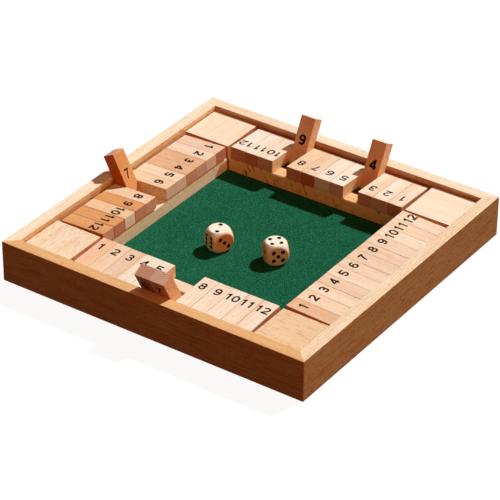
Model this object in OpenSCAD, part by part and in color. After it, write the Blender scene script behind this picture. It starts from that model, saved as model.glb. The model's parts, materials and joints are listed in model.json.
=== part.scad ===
// Four-sided shut the box game: a mitred wooden tray, a felt floor, four rows of numbered flip tiles
// that turn on a rod along each wall, and two dice. Millimetres, +Z up, origin on the table
// under the middle of the tray. The front row is at -Y, and the others follow by quarter turns.

/* [Frame] */
// Height of the frame above the table
frame_h = 43; // [40:0.5:56]
// Thickness of the frame boards
frame_t = 13; // [10:0.5:24]
// Rounding of the frame's upright outer corners
corner_r = 0.75; // [0.5:0.25:5]
// Easing of the frame's long edges
edge_r = 0.5; // [0.2:0.1:1.5]

/* [Floor] */
// Height of the base board's underside above the table
board_z = 6; // [3:0.5:8]
// Thickness of the base board
board_t = 5; // [3:0.5:6]
// Depth of the groove that holds the base board
groove_d = 5; // [3:0.5:8]
// Clearance of the base board in its groove
groove_fit = 0.1; // [0.05:0.05:0.4]
// Thickness of the felt
felt_t = 0.8; // [0.5:0.1:1.5]
// Gap between the felt and what stands round it
felt_gap = 0.1; // [0.05:0.05:0.6]

/* [Corner blocks] */
// Distance of a corner block's inner faces behind the tiles' free ends
block_setback = 0.2; // [0:0.1:3]
// Gap between a corner block and the frame
block_gap = 1; // [0.1:0.1:3]
// Depth of a block's top below the frame's top
block_drop = 5; // [3:0.5:8]
// Rounding of a corner block's upright edges
block_edge_r = 0.8; // [0.2:0.1:2]

/* [Tiles] */
// Length of a tile, from the wall towards the middle of the tray
tile_len = 50; // [46:0.5:58]
// Width of a tile, along its row
tile_w = 16.5; // [14:0.25:20]
// Thickness of a tile
tile_t = 13.2; // [10:0.1:15]
// Gap between neighbouring tiles
tile_gap = 0.2; // [0.1:0.05:0.6]
// Gap between the last tile of a row and the corner block
row_end_gap = 3.8; // [0.5:0.1:6]
// Depth of the tiles' axle side below the tops of the corner blocks
tile_sink = 0.9; // [0:0.1:2]
// Slope of a tile that lies flat: its free end is the higher one
tile_slope = 2.75; // [0.5:0.25:4]
// Clearance between the frame and the corner that a turning tile sweeps past it
wall_gap = 1.4; // [0.5:0.1:3]
// Clearance left where a tile comes to rest on the rail or on the frame
stop_gap = 0.12; // [0.05:0.01:0.3]

/* [Axles] */
// Diameter of the steel rod that a row turns on
rod_d = 3; // [2:0.25:5]
// Distance of the rod from the tile's wall end
rod_from_end = 10.5; // [8:0.25:14]
// Running clearance of a tile round its rod, on the radius
bore_fit = 0.08; // [0.02:0.01:0.1]
// Depth of the sockets that hold the rod's ends in the corner blocks
socket_d = 12; // [6:1:20]
// Clearance of the rod in its sockets, on the radius
socket_fit = 0.03; // [0.01:0.01:0.1]
// Play of the rod along its length, at each end
rod_end_play = 0.2; // [0.1:0.1:1]

/* [Rest rails] */
// Width of the rail that the tiles' free ends rest on
rail_w = 15; // [8:0.5:17]
// Distance of the rail's inner face behind the tiles' free ends
rail_setback = 0.5; // [0:0.1:3]
// Rounding of the rail's inner top edge
rail_r = 1.6; // [0.5:0.1:4]
// Gap between the rail's ends and the corner blocks
rail_end_gap = 1.2; // [0.1:0.1:3]

/* [Dice] */
// Distance between opposite faces of a die
die_size = 22; // [14:0.5:26]
// Diameter of the flat circle that the rounding leaves on each face of a die
die_face_d = 18.9; // [17:0.1:21]
// Distance of the outer pips from a face's middle lines
pip_pitch = 4.5; // [3:0.1:5]
// Diameter of a pip
pip_d = 3.9; // [2:0.1:4]
// Depth of a pip
pip_depth = 0.6; // [0.3:0.05:1]

/* [Hidden] */
$fn = 64;

// Length by which a cut runs past the face that it opens
OVERCUT = 1;

// Rows by number, counter-clockwise seen from above
FRONT = 0;
RIGHT = 1;
BACK = 2;
LEFT = 3;
ROWS = ["front", "right", "back", "left"];
TILES_PER_ROW = 12;

// Tiles that stand raised at rest in each row, the others lie flat
RAISED = [[6, 7], [], [4, 9], [7]];

// Colours of a pale, an amber and a reddish piece of beech
BEECH = [[0.93, 0.78, 0.58], [0.90, 0.68, 0.46], [0.88, 0.66, 0.50]];

// Tone of each row's tiles from 1 to 12: pale, amber or reddish
TONES = ["rpappaarpppp", "appapaaaappp", "ppprppaprppp", "apaappapapaa"];

// Heights
board_top = board_z + board_t;
felt_top = board_top + felt_t;
block_top = frame_h - block_drop;
axle_z = block_top - tile_sink - tile_t / 2;

// Distances from the frame's inner wall towards the middle of the tray
axle_v = norm([rod_from_end, tile_t / 2]) + wall_gap;
row_depth = axle_v + tile_len - rod_from_end;
rail_inner_v = row_depth - rail_setback;
rail_outer_v = rail_inner_v - rail_w;
block_reach = row_depth - block_setback;
block_side = block_reach - block_gap;

// Sizes along a row
pitch = tile_w + tile_gap;
row_len = TILES_PER_ROW * pitch - tile_gap;
clear_len = row_len + 2 * row_end_gap;
inner_half = clear_len / 2 + block_reach;
tray_side = 2 * (inner_half + frame_t);
felt_side = 2 * (inner_half - max(block_reach, rail_inner_v) - felt_gap);

// Height at which the rail's outer top edge just clears a sloping tile's underside
rail_top = axle_z - ((tile_t / 2 + stop_gap) - (rail_outer_v - axle_v) * sin(tile_slope)) / cos(tile_slope);

// Angle past upright at which a raised tile's face comes to the frame's eased inner top edge
lean_run = axle_v + edge_r;
lean_rise = frame_h - edge_r - axle_z;
lean = acos((tile_t / 2 + stop_gap + edge_r) / norm([lean_run, lean_rise])) - atan2(lean_rise, lean_run);

// Travel of a tile from flat to raised
lift = 90 + lean - tile_slope;

function tile_x(n) = (n - (TILES_PER_ROW + 1) / 2) * pitch;
function is_raised(row, n) = len(search(n, RAISED[row])) > 0;
function two_digits(n) = str(n < 10 ? "0" : "", n);
function tile_name(row, n) = str(ROWS[row], "_tile_", two_digits(n));
function frame_name(row) = str("frame_", ROWS[row]);

// Turns a shape made for the front row to its own row
module at_row(row) {
    rotate([0, 0, 90 * row]) children();
}

// Rectangle with round corners, its lower left corner at the origin
module round_rect(w, h, r) {
    translate([r, 0]) square([w - 2 * r, h]);
    translate([0, r]) square([w, h - 2 * r]);
    for (x = [r, w - r]) for (y = [r, h - r]) translate([x, y]) circle(r);
}

// Upright prism on a round-cornered square centred on the origin
module square_prism(side, height, r) {
    translate([-side / 2, -side / 2, 0]) linear_extrude(height) round_rect(side, side, r);
}

// Carries a section in Y and Z along X, over a length centred on the origin
module along_x(length) {
    translate([-length / 2, 0, 0]) rotate([90, 0, 90]) linear_extrude(length) children();
}

// Round bar or hole that starts at the origin and runs along +X
module bar(length, r) {
    rotate([0, 90, 0]) cylinder(h = length, r = r);
}

// Frame board with mitred ends, grooved for the base board
module frame_board(row) {
    reach = tray_side / 2 + frame_t;
    color(BEECH[1]) at_row(row) difference() {
        intersection() {
            translate([0, -tray_side / 2, 0]) along_x(tray_side) round_rect(frame_t, frame_h, edge_r);
            linear_extrude(frame_h) polygon([[0, 0], [-reach, -reach], [reach, -reach]]);
            square_prism(tray_side, frame_h, corner_r);
        }
        translate([-inner_half - groove_d, -inner_half - groove_d, board_z])
            cube([2 * (inner_half + groove_d), 2 * (inner_half + groove_d), board_t + groove_fit]);
    }
}

module base_board() {
    side = 2 * (inner_half + groove_d - groove_fit);
    color(BEECH[0]) translate([-side / 2, -side / 2, board_z]) cube([side, side, board_t]);
}

module felt() {
    color("darkgreen") translate([-felt_side / 2, -felt_side / 2, board_top])
        cube([felt_side, felt_side, felt_t]);
}

// Block in the corner between this row's first tile and the last tile of the row before it
module corner_block() {
    centre = block_gap + block_side / 2 - inner_half;
    socket_end = -clear_len / 2 - socket_d;
    socket_len = socket_d + OVERCUT;
    socket_r = rod_d / 2 + socket_fit;
    difference() {
        translate([centre, centre, board_top]) square_prism(block_side, block_top - board_top, block_edge_r);
        translate([socket_end, axle_v - inner_half, axle_z]) bar(socket_len, socket_r);
        translate([axle_v - inner_half, socket_end, axle_z]) rotate([0, 0, 90]) bar(socket_len, socket_r);
    }
}

module corner_blocks() {
    color(BEECH[0]) for (row = [FRONT:LEFT]) at_row(row) corner_block();
}

// Rail with one rounded edge, under the free ends of a row's tiles
module rest_rail() {
    height = rail_top - board_top;
    translate([0, rail_outer_v - inner_half, board_top]) along_x(clear_len - 2 * rail_end_gap) {
        square([rail_w - rail_r, height]);
        square([rail_w, height - rail_r]);
        translate([rail_w - rail_r, height - rail_r]) circle(rail_r);
    }
}

module rest_rails() {
    color(BEECH[1]) for (row = [FRONT:LEFT]) at_row(row) rest_rail();
}

module axle_rod() {
    length = clear_len + 2 * (socket_d - rod_end_play);
    translate([-length / 2, axle_v - inner_half, axle_z]) bar(length, rod_d / 2);
}

module axle_rods() {
    color("silver") for (row = [FRONT:LEFT]) at_row(row) axle_rod();
}

// Tile with its rod hole on the X axis and its free end at +Y
module tile() {
    difference() {
        translate([-tile_w / 2, -rod_from_end, -tile_t / 2]) cube([tile_w, tile_len, tile_t]);
        translate([-tile_w / 2 - OVERCUT, 0, 0]) bar(tile_w + 2 * OVERCUT, rod_d / 2 + bore_fit);
    }
}

module row_tile(row, n) {
    tilt = is_raised(row, n) ? tile_slope + lift : tile_slope;
    tone = search(TONES[row][n - 1], "par")[0];
    color(BEECH[tone]) at_row(row)
        translate([tile_x(n), axle_v - inner_half, axle_z]) rotate([tilt, 0, 0]) tile();
}

// Places of a face's pips, in units of pip_pitch
function pips(n) = [
    if (n % 2 == 1) [0, 0],
    if (n >= 2) each [[-1, 1], [1, -1]],
    if (n >= 4) each [[-1, -1], [1, 1]],
    if (n == 6) each [[-1, 0], [1, 0]]
];

// Hollows of one face's pips, on the top face of a die centred on the origin
module face_pips(n) {
    ball_r = (pow(pip_d / 2, 2) + pow(pip_depth, 2)) / (2 * pip_depth);
    for (p = pips(n)) translate([p.x * pip_pitch, p.y * pip_pitch, die_size / 2 + ball_r - pip_depth])
        sphere(ball_r);
}

// Die resting on the felt: opposite faces add up to seven
module die(place, turn, top, front, right) {
    color(BEECH[0]) translate([place.x, place.y, felt_top + die_size / 2]) rotate([0, 0, turn]) difference() {
        intersection() {
            cube(die_size, center = true);
            sphere(norm([die_size, die_face_d]) / 2);
        }
        face_pips(top);
        rotate([180, 0, 0]) face_pips(7 - top);
        rotate([90, 0, 0]) face_pips(front);
        rotate([90, 0, 180]) face_pips(7 - front);
        rotate([90, 0, 90]) face_pips(right);
        rotate([90, 0, -90]) face_pips(7 - right);
    }
}

module die_left() {
    die(place = [-26.4, -21], turn = -25, top = 2, front = 6, right = 3);
}

module die_right() {
    die(place = [30.7, -8.8], turn = 48.5, top = 4, front = 5, right = 6);
}

for (row = [FRONT:LEFT])
    frame_board(row);
base_board();
felt();
corner_blocks();
rest_rails();
axle_rods();
for (row = [FRONT:LEFT]) for (n = [1:TILES_PER_ROW])
    row_tile(row, n);
die_left();
die_right();
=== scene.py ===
"""Four-sided shut the box game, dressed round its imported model.

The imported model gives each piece's place. The pieces here stand for its solids: mitred frame boards,
corner blocks, rest rails, rods, tiles with printed numbers, a felt lining and two dice. Their shapes
are computed with numpy in millimetres, as outlines carried along a path or grids of two parameters,
and are scaled to metres when they become meshes.
"""

import json
import logging
import math
from collections.abc import Iterable, Sequence
from dataclasses import dataclass, field, replace
from enum import Enum, IntEnum
from typing import Any

import bmesh
import bpy
import numpy as np
from mathutils import Matrix, Vector

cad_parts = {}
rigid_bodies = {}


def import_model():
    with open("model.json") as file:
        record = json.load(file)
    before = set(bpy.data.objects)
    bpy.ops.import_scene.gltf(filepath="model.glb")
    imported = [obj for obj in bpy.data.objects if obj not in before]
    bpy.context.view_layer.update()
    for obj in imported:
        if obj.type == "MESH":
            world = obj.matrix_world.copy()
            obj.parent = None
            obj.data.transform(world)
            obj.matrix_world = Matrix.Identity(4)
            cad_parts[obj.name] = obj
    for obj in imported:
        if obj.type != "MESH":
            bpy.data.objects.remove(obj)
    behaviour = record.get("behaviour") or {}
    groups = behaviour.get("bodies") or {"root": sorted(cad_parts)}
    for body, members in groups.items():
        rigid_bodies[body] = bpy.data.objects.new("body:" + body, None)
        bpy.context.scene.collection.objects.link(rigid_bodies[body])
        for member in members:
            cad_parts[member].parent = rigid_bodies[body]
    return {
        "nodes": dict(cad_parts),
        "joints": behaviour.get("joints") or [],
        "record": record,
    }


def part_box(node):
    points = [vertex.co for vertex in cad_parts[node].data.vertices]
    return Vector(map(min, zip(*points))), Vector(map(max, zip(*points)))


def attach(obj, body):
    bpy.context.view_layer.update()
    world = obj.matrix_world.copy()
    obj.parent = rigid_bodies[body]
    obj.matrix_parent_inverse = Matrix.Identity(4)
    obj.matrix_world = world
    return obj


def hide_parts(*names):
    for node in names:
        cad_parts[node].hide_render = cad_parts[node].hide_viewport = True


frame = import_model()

Array = np.ndarray
Socket = bpy.types.NodeSocket
Colour = tuple[float, float, float, float]

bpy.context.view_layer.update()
LOG = logging.getLogger("shut_the_box")

# Metres in a millimetre
MM = 0.001
# Distance within which points become one, in millimetres
WELD = 1e-4
# Angle from which an edge looks sharp
SMOOTH_ANGLE = math.radians(40)
# Number of the axis that points up
UP = 2
TILES_PER_ROW = 12
WHITE: Colour = (1.0, 1.0, 1.0, 1.0)

# First number of every random draw
SEED = 12
# Ranges from which a piece's place in the tree is drawn: distance from the pith in millimetres,
# direction from it and slant of the fibres in degrees, and millimetres along the trunk
PITH_DISTANCE = (50, 150)
PITH_TURN = (-60, 60)
SLANT = (-2, 2)
TRUNK = (-400, 400)


class Draw(IntEnum):
    """What a random draw is for, as its second number."""

    FRAME = 1
    NAP = 2
    BLOCKS = 3
    RAILS = 4
    TILES = 5
    DICE = 6
    SAW = 7


def chances(*key: int) -> np.random.Generator:
    """Returns random numbers that are the same ones each time for the same key."""
    return np.random.default_rng([SEED, *key])


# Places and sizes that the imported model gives


class Row(Enum):
    """The four rows, by their quarter turns from the front one, counter-clockwise from above."""

    FRONT = 0
    RIGHT = 1
    BACK = 2
    LEFT = 3

    @property
    def label(self) -> str:
        """The row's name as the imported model's nodes have it."""
        return self.name.lower()

    @property
    def turn(self) -> Array:
        """The rotation that takes a shape from the front row to this row."""
        return turned(z=90.0 * self.value)


def turned(x: float = 0.0, y: float = 0.0, z: float = 0.0) -> Array:
    """Works out a rotation about X, then Y, then Z.

    Args:
        x: Degrees about the X axis.
        y: Degrees about the Y axis.
        z: Degrees about the Z axis.

    Returns:
        The 3 by 3 rotation matrix.
    """
    angles = zip("XYZ", (x, y, z))
    about_x, about_y, about_z = (np.array(Matrix.Rotation(math.radians(a), 3, n)) for n, a in angles)
    return about_z @ about_y @ about_x


@dataclass(frozen=True)
class Place:
    """Where a piece stands: a rotation, then a move, in millimetres."""

    turn: Array = field(default_factory=lambda: np.eye(3))
    offset: Array = field(default_factory=lambda: np.zeros(3))

    def carry(self, points: Array) -> Array:
        """Returns points carried from the piece's own axes to the game's."""
        return points @ self.turn.T + self.offset


@dataclass(frozen=True)
class Box:
    """Lowest and highest corner of something, in millimetres."""

    low: Array
    high: Array

    @property
    def centre(self) -> Array:
        """The middle of the box."""
        return (self.low + self.high) / 2

    @property
    def size(self) -> Array:
        """The lengths of the box's sides."""
        return self.high - self.low


def read(items: Any, name: str) -> Array:
    """Reads a vector that each of a mesh's vertices, normals or faces has.

    Args:
        items: The vertices, the normals or the faces.
        name: Name of the vector.

    Returns:
        The vectors, one row each.
    """
    values = np.empty(len(items) * 3)
    items.foreach_get(name, values)
    return values.reshape(-1, 3)


def node_box(node: str) -> Box:
    """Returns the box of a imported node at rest."""
    low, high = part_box(node)
    return Box(np.array(low) / MM, np.array(high) / MM)


def row_box(node: str, row: Row, corner: bool = False) -> Box:
    """Measures one row's share of a node that holds four alike solids.

    Turned back to the front, that is the share whose points are nearer to the front wall than to any
    other, or for a corner those at the front left.

    Args:
        node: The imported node.
        row: The row whose solid is wanted.
        corner: True where the solid stands in the corner before the row's first tile.

    Returns:
        The solid's box, turned back to the front row.
    """
    points = read(frame["nodes"][node].data.vertices, "co") @ row.turn / MM
    if corner:
        mine = points[(points[:, 0] < 0) & (points[:, 1] < 0)]
    else:
        mine = points[points[:, 1] < -np.abs(points[:, 0])]
    return Box(mine.min(0), mine.max(0))


# The record's material slot of each node, and each tile's hinge
SLOTS = {part["node"]: part["material_slot"] for part in frame["record"]["subparts"]}
HINGES = {joint["child"]: joint for joint in frame["joints"] if joint["type"] == "hinge"}


# Surfaces


@dataclass
class Shell:
    """Points and faces of closed surfaces, in millimetres."""

    points: Array
    faces: list[Sequence[int]]

    def moved(self, place: Place) -> "Shell":
        """Returns the shell carried to a place."""
        return Shell(place.carry(self.points), self.faces)


def joined(shells: Iterable[Shell]) -> Shell:
    """Puts several shells into one, without welding them.

    Args:
        shells: The shells to join.

    Returns:
        One shell that holds all their points and faces.
    """
    points, faces, count = [], [], 0
    for shell in shells:
        points.append(shell.points)
        faces += [[i + count for i in face] for face in shell.faces]
        count += len(shell.points)
    return Shell(np.concatenate(points), faces)


def lattice(rings: Array, loop: bool = False, caps: bool = True) -> Shell:
    """Skins closed rings of points, each one joined to the next by quads.

    Point j of ring i has the number i m + j, with m points to a ring. The quad there takes the points
    j and j + 1, counted round the ring, of the rings i and i + 1.

    Args:
        rings: Points as an array of rings, points in a ring, and X, Y and Z.
        loop: True where the last ring joins the first, as round a bored piece.
        caps: True where the first and the last ring are closed by flat faces.

    Returns:
        The closed shell.
    """
    count, around = rings.shape[:2]
    numbers = np.arange(count * around).reshape(count, around)
    after = np.roll(numbers, -1, axis=0) if loop else numbers[1:]
    first = numbers if loop else numbers[:-1]
    beside, after_beside = np.roll(first, -1, axis=1), np.roll(after, -1, axis=1)
    faces = np.stack([first, beside, after_beside, after], axis=-1).reshape(-1, 4).tolist()
    if caps and not loop:
        faces += [numbers[0, ::-1].tolist(), numbers[-1].tolist()]
    return Shell(rings.reshape(-1, 3), faces)


@dataclass(frozen=True)
class Outline:
    """Outline with right-angled corners, some of them round, counter-clockwise.

    Attributes:
        corners: The sharp corners.
        radii: Each corner's rounding.
        marks: Shares of the way along each edge at which it gets further points.
        arc_steps: Chords in a round corner.
    """

    corners: Sequence[tuple[float, float]]
    radii: Sequence[float]
    marks: Sequence[Sequence[float]] = ()
    arc_steps: int = 4

    def at(self, inset: float = 0.0) -> Array:
        """Works out the outline moved inwards.

        With m and n the inward normals of the edges before and after a corner C, and r its rounding
        less the inset, the arc's centre is C + (inset + r) (m + n). Its points lie at the centre
        less r (m cos a + n sin a), with a from nought to a quarter turn. A mark lies on the edge
        after C, moved by the inset along n.

        Args:
            inset: Distance by which the outline shrinks.

        Returns:
            The outline's points, one row each.
        """
        corner = np.array(self.corners, float)
        edge = np.roll(corner, -1, axis=0) - corner
        along = edge / np.linalg.norm(edge, axis=1, keepdims=True)
        normal = np.stack([-along[:, 1], along[:, 0]], axis=1)
        before = np.roll(normal, 1, axis=0)
        radius = np.maximum(np.array(self.radii) - inset, 0.0)[:, None]
        centre = corner + (inset + radius) * (before + normal)
        angle = np.linspace(0, math.pi / 2, self.arc_steps + 1)[None, :, None]
        arcs = centre[:, None] - radius[:, None] * (
            before[:, None] * np.cos(angle) + normal[:, None] * np.sin(angle)
        )
        stretches = []
        for i, arc in enumerate(arcs):
            shares = np.array(self.marks[i] if self.marks else (), float)[:, None]
            stretches += [arc, corner[i] + shares * edge[i] + inset * normal[i]]
        return np.concatenate(stretches)


def corners_of(low: Sequence[float], high: Sequence[float]) -> list[tuple[float, float]]:
    """Returns a rectangle's corners, counter-clockwise from the lowest."""
    return [(low[0], low[1]), (high[0], low[1]), (high[0], high[1]), (low[0], high[1])]


def quarter_round(radius: float, steps: int) -> tuple[Array, Array]:
    """Works out a rounded edge between an end and a side.

    At the angle a, from nought at the end to a quarter turn at the side, the surface lies
    radius (1 - sin a) inside the side and radius (1 - cos a) from the end.

    Args:
        radius: Radius of the rounding.
        steps: Chords in it.

    Returns:
        Distances from the side, and distances from the end.
    """
    angle = np.linspace(0, math.pi / 2, steps + 1)
    return radius * (1 - np.sin(angle)), radius * (1 - np.cos(angle))


def eased(outline: Outline, low: float, high: float, ease: float, steps: int = 3) -> Array:
    """Carries an outline along Z between two ends whose edges are rounded.

    Near an end the outline shrinks as the quarter round gives it, by up to the ease at the end.

    Args:
        outline: The section.
        low: Height of the lower end.
        high: Height of the upper end.
        ease: Radius of the ends' edges.
        steps: Chords in the rounding.

    Returns:
        Rings of points, from the lower end to the upper one.
    """
    inset, rise = quarter_round(ease, steps)
    outlines = np.stack([outline.at(shrunk) for shrunk in np.concatenate([inset, inset[::-1]])])
    heights = np.concatenate([low + rise, (high - rise)[::-1]])[:, None, None]
    return np.concatenate([outlines, np.broadcast_to(heights, (*outlines.shape[:2], 1))], axis=-1)


def circle(radius: float, count: int) -> Array:
    """Returns points evenly round a circle about the origin."""
    angle = np.linspace(0, 2 * math.pi, count, endpoint=False)
    return radius * np.column_stack([np.cos(angle), np.sin(angle)])


def chamfered_bar(radius: float, length: float, chamfer: float, count: int = 32) -> Shell:
    """Makes a round bar along X, centred on the origin, with chamfered ends.

    It has four rings: one at each end, smaller by the chamfer, and one that far inside each end.

    Args:
        radius: Radius of the bar.
        length: Length of the bar.
        chamfer: Width of the chamfers.
        count: Points round the bar.

    Returns:
        The bar's shell.
    """
    half = length / 2
    places = (-half, chamfer - half, half - chamfer, half)
    radii = (radius - chamfer, radius, radius, radius - chamfer)
    rings = [np.column_stack([np.full(count, x), circle(r, count)]) for x, r in zip(places, radii)]
    return lattice(np.stack(rings))


def ball(centre: Array, radius: float, around: int = 28, rows: int = 16) -> Shell:
    """Makes a ball as rings of latitude, the first and the last of which shrink to the poles.

    At the angle p from the upper pole and the angle a round it, a point lies at the centre plus
    radius (sin p cos a, sin p sin a, cos p).

    Args:
        centre: The ball's middle.
        radius: Radius of the ball.
        around: Points in a ring.
        rows: Rows of faces from pole to pole.

    Returns:
        The ball's shell.
    """
    polar = np.linspace(0, math.pi, rows + 1)[:, None]
    angle = np.linspace(0, 2 * math.pi, around, endpoint=False)[None, :]
    x, y = np.sin(polar) * np.cos(angle), np.sin(polar) * np.sin(angle)
    rings = centre + radius * np.stack([x, y, np.broadcast_to(np.cos(polar), x.shape)], axis=-1)
    return lattice(rings, caps=False)


# Meshes


class Cut(Enum):
    """What a boolean does with the second mesh."""

    ADD = "UNION"
    TAKE = "DIFFERENCE"


def mesh_of(shell: Shell, name: str) -> bpy.types.Mesh:
    """Puts a shell into a mesh, welds its seams and poles, and faces it outwards.

    Args:
        shell: The shell, in millimetres.
        name: The mesh's name.

    Returns:
        The mesh, still in millimetres.
    """
    mesh = bpy.data.meshes.new(name)
    mesh.from_pydata(shell.points, [], shell.faces)
    work = bmesh.new()
    work.from_mesh(mesh)
    bmesh.ops.remove_doubles(work, verts=work.verts, dist=WELD)
    bmesh.ops.dissolve_degenerate(work, edges=work.edges, dist=WELD)
    bmesh.ops.recalc_face_normals(work, faces=work.faces)
    work.to_mesh(mesh)
    work.free()
    return mesh


def combined(mesh: bpy.types.Mesh, others: Sequence[bpy.types.Mesh], way: Cut) -> bpy.types.Mesh:
    """Adds other meshes to a closed mesh, or takes them away from it.

    Args:
        mesh: The mesh to change.
        others: Closed meshes, used one after another.
        way: Whether they are added or taken away.

    Returns:
        The new mesh.
    """
    scene = bpy.context.scene.collection.objects
    base = bpy.data.objects.new("base", mesh)
    scene.link(base)
    tools = [bpy.data.objects.new("tool", other) for other in others]
    for tool in tools:
        scene.link(tool)
        modifier = base.modifiers.new("boolean", "BOOLEAN")
        modifier.operation = way.value
        modifier.solver = "EXACT"
        modifier.object = tool
    shaped = base.evaluated_get(bpy.context.evaluated_depsgraph_get())
    result = bpy.data.meshes.new_from_object(shaped)
    for thing in (base, *tools):
        bpy.data.objects.remove(thing)
    return result


def shell_of(mesh: bpy.types.Mesh) -> Shell:
    """Returns a mesh's points and faces as a shell."""
    return Shell(read(mesh.vertices, "co"), [tuple(face.vertices) for face in mesh.polygons])


@dataclass(frozen=True)
class Grain:
    """How the wood of one piece lies.

    Attributes:
        along: The piece's own axis along the fibres, 0, 1 or 2.
        slant: Angle of the fibres to that axis, in degrees.
        start: Where the piece's origin lies in the tree, whose pith is the X axis, in millimetres.
        tone: Share of the finish's second face colour, 0 to 1.
        end_tone: Share of its second end colour, 0 to 1.
        flank_tones: Shares of its second flank colour, on the side that faces down the across axis
            and on the one that faces up it.
    """

    along: int = 0
    slant: float = 0.0
    start: Array = field(default_factory=lambda: np.zeros(3))
    tone: float = 0.0
    end_tone: float = 0.5
    flank_tones: tuple[float, float] = (0.0, 0.0)


def any_grain(key: Sequence[int], **known: Any) -> Grain:
    """Picks a piece of wood by a fixed rule.

    It lies at some distance from the pith, to either side of straight above it, so that the growth
    rings cross the ends at different slopes.

    Args:
        key: Whole numbers that no other piece has.
        **known: What is known of the grain.

    Returns:
        The grain, the same one for the same key.
    """
    draw = chances(*key)
    far, turn, slant, trunk = (draw.uniform(*limits) for limits in (PITH_DISTANCE, PITH_TURN, SLANT, TRUNK))
    start = np.array([trunk, far * math.sin(math.radians(turn)), far * math.cos(math.radians(turn))])
    return Grain(slant=slant, start=start, **known)


@dataclass
class Piece:
    """One piece of the game on its way into the scene.

    Attributes:
        name: Name of the object.
        mesh: Its mesh, in the piece's own millimetres.
        slot: The record's material slot.
        node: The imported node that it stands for, if any.
        place: Where it stands.
        body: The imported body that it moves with.
        finish: What it is finished with, where that isn't its slot's usual finish.
        grain: How its wood lies.
    """

    name: str
    mesh: bpy.types.Mesh
    slot: str
    node: str | None = None
    place: Place = field(default_factory=Place)
    body: str = "tray"
    finish: "Finish | None" = None
    grain: Grain = field(default_factory=Grain)

    def write(self, name: str, kind: str, values: Array) -> None:
        """Writes one value for each of the mesh's points.

        Args:
            name: Name of the attribute.
            kind: Blender's type of attribute.
            values: The values, one row a point.
        """
        attribute = self.mesh.attributes.new(name, kind, "POINT")
        attribute.data.foreach_set("value" if kind == "FLOAT" else "vector", values.ravel())

    def lay_grain(self, points: Array, normals: Array) -> None:
        """Stores the wood's own axes on the mesh: along, across and up, in millimetres.

        The pattern's point is the piece's point with the fibres' axis first, turned by the slant,
        plus the start. The facing is the normal with the fibres' axis first and the up axis last.

        Args:
            points: The mesh's points.
            normals: Their normals.
        """
        grain = self.grain
        order = [grain.along, 1 if grain.along == 0 else 0, UP]
        pattern = points[:, order] @ turned(z=grain.slant).T + grain.start
        self.write("grain", "FLOAT_VECTOR", pattern)
        self.write("facing", "FLOAT_VECTOR", normals[:, order])
        for name, tone in (("tone", grain.tone), ("end_tone", grain.end_tone)):
            self.write(name, "FLOAT", np.full(len(points), tone))
        self.write("flank_tone", "FLOAT", np.where(normals[:, order[1]] < 0, *grain.flank_tones))

    def build(self) -> bpy.types.Object:
        """Dresses the mesh, carries it to its place and makes its object.

        Returns:
            The object, riding on its body.
        """
        mesh = self.mesh
        points = read(mesh.vertices, "co")
        self.lay_grain(points, read(mesh.vertex_normals, "vector"))
        mesh.vertices.foreach_set("co", (self.place.carry(points) * MM).ravel())
        mesh.shade_smooth()
        mesh.set_sharp_from_angle(angle=SMOOTH_ANGLE)
        mesh.materials.clear()
        for material in (self.finish or FINISHES[self.slot]).materials():
            mesh.materials.append(material)
        mesh.update()
        thing = bpy.data.objects.new(self.name, mesh)
        bpy.context.scene.collection.objects.link(thing)
        weighted = thing.modifiers.new("weighted_normal", "WEIGHTED_NORMAL")
        weighted.keep_sharp = True
        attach(thing, self.body)
        if self.node:
            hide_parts(self.node)
        LOG.info("%s: %d faces, moves with %s", self.name, len(mesh.polygons), self.body)
        return thing


# Finishes


def colour(red: int, green: int, blue: int) -> Colour:
    """Turns a screen colour into the linear one that a shader reads.

    A share v of full light becomes ((v + 0.055) / 1.055) ** 2.4, or v / 12.92 where it is very dark.

    Args:
        red: Red, 0 to 255.
        green: Green, 0 to 255.
        blue: Blue, 0 to 255.

    Returns:
        The linear colour, with full cover.
    """
    screen = np.array([red, green, blue]) / 255
    linear = np.where(screen <= 0.04045, screen / 12.92, ((screen + 0.055) / 1.055) ** 2.4)
    return (*linear.tolist(), 1.0)


class Nodes:
    """Adds nodes to the tree of a material or a world."""

    def __init__(self, owner: bpy.types.Material | bpy.types.World) -> None:
        """Takes a material or a world and empties its tree.

        Args:
            owner: The material or the world.
        """
        owner.use_nodes = True
        self.tree = owner.node_tree
        self.tree.nodes.clear()

    def add(self, kind: str, feeds: dict[str | int, Any] | None = None, **options: Any) -> bpy.types.Node:
        """Adds a node.

        Args:
            kind: Blender's type of node.
            feeds: Links or values for its inputs, by name or number.
            **options: The node's own settings.

        Returns:
            The node.
        """
        node = self.tree.nodes.new(kind)
        for name, value in options.items():
            setattr(node, name, value)
        for name, value in (feeds or {}).items():
            self.feed(node.inputs[name], value)
        return node

    def feed(self, socket: Socket, value: Any) -> None:
        """Links another node's output to a socket, or sets the socket's value.

        Args:
            socket: The input to feed.
            value: The output or the value.
        """
        if isinstance(value, Socket):
            self.tree.links.new(value, socket)
        else:
            socket.default_value = value

    def shown(self, lights: bpy.types.Node, looks: bpy.types.Node) -> Socket:
        """Lets a surface or a world look different from the light that it gives.

        Args:
            lights: The shader for the rays that carry light to the game.
            looks: The shader for the rays that show a background: to the camera, in metal or
                through glass.

        Returns:
            The mixed shader.
        """
        rays = self.add("ShaderNodeLightPath").outputs
        seen = rays["Is Camera Ray"]
        for name in ("Is Glossy Ray", "Is Transmission Ray"):
            seen = self.add("ShaderNodeMath", {0: seen, 1: rays[name]}, operation="MAXIMUM").outputs[0]
        feeds = {0: seen, 1: lights.outputs[0], 2: looks.outputs[0]}
        return self.add("ShaderNodeMixShader", feeds).outputs[0]


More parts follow.
